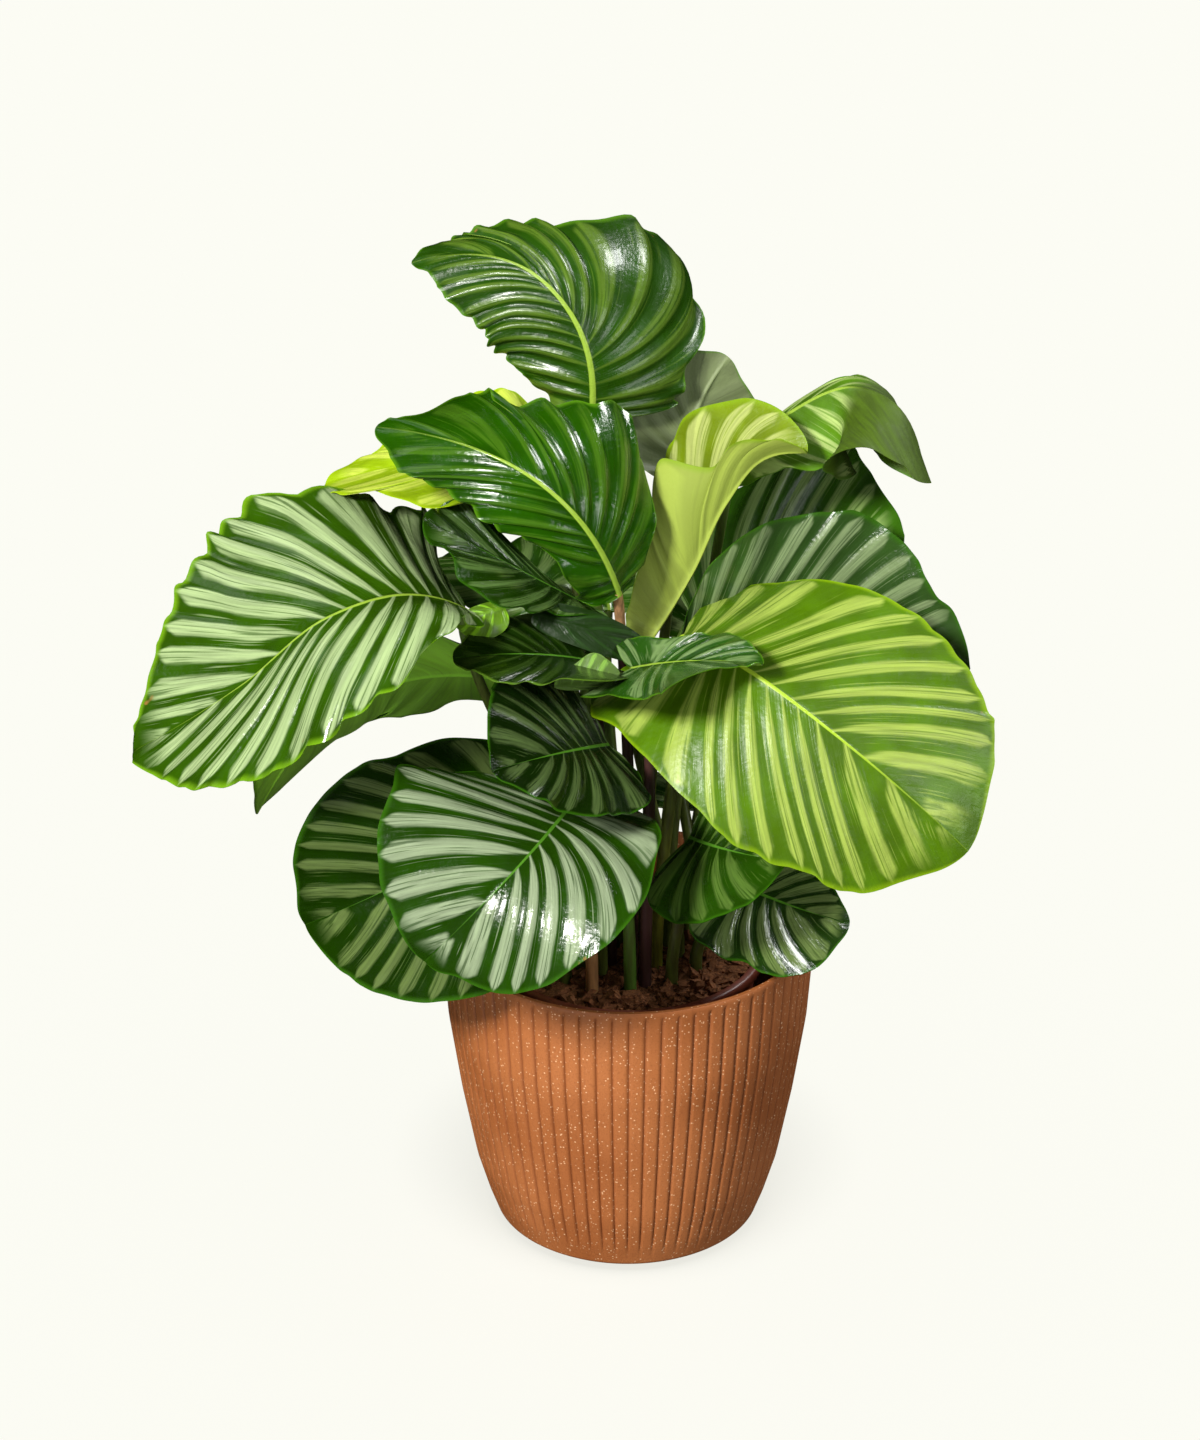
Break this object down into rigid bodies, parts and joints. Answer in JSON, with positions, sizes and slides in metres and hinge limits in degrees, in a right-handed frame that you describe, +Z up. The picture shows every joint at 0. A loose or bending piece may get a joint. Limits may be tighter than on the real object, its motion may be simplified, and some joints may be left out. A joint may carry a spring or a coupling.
{
  "type": "potted calathea orbifolia",
  "caption": "Potted prayer plant with large round silver-banded leaves on bare stalks, in a tapered ribbed outer pot with a nursery pot inside.",
  "frame": {"origin": "middle of the outer pot's flat base, on the surface it stands on", "axes": "+Z up; -Y towards the side shown in the picture, +X to its right"},
  "size_m": [0.4368, 0.3318, 0.5393],
  "materials": {
    "pot_shell": "matt speckled terracotta-coloured composite with upright ribs",
    "nursery_plastic": "satin brown-red thin plastic",
    "potting_mix": "dark coarse bark and fibre",
    "leaf_dark": "glossy dark green with pale bands",
    "leaf_mid": "glossy mid green with silvery bands",
    "leaf_young": "glossy yellow-green with pale bands",
    "stalk": "satin green to purple-brown, tan at the top"
  },
  "bodies": {
    "root": {"outer_pot": "pot_shell", "nursery_pot": "nursery_plastic", "soil": "potting_mix", "leaf_top": "leaf_mid", "stalk_top": "stalk", "leaf_second": "leaf_mid", "stalk_second": "stalk", "leaf_left_big": "leaf_mid", "stalk_left_big": "stalk", "leaf_left_mid": "leaf_dark", "stalk_left_mid": "stalk", "leaf_left_light": "leaf_young", "stalk_left_light": "stalk", "leaf_low_left_back": "leaf_dark", "stalk_low_left_back": "stalk", "leaf_low_left_front": "leaf_dark", "stalk_low_left_front": "stalk", "leaf_centre_low": "leaf_dark", "stalk_centre_low": "stalk", "leaf_centre_left": "leaf_dark", "stalk_centre_left": "stalk", "leaf_centre_right": "leaf_mid", "stalk_centre_right": "stalk", "leaf_left_under": "leaf_mid", "stalk_left_under": "stalk", "leaf_right_big": "leaf_young", "stalk_right_big": "stalk", "leaf_right_dark": "leaf_dark", "stalk_right_dark": "stalk", "leaf_right_upper": "leaf_dark", "stalk_right_upper": "stalk", "leaf_low_right_front": "leaf_dark", "stalk_low_right_front": "stalk", "leaf_low_right_back": "leaf_dark", "stalk_low_right_back": "stalk", "leaf_rolled": "leaf_young", "stalk_rolled": "stalk", "leaf_behind_top": "leaf_mid", "stalk_behind_top": "stalk", "leaf_folding": "leaf_mid", "stalk_folding": "stalk", "leaf_back_left_high": "leaf_mid", "stalk_back_left_high": "stalk", "leaf_back_centre": "leaf_mid", "stalk_back_centre": "stalk", "leaf_back_right_high": "leaf_dark", "stalk_back_right_high": "stalk", "leaf_back_right_low": "leaf_dark", "stalk_back_right_low": "stalk", "leaf_back_left_low": "leaf_dark", "stalk_back_left_low": "stalk", "leaf_back_low": "leaf_dark", "stalk_back_low": "stalk"}
  },
  "joints": []
}
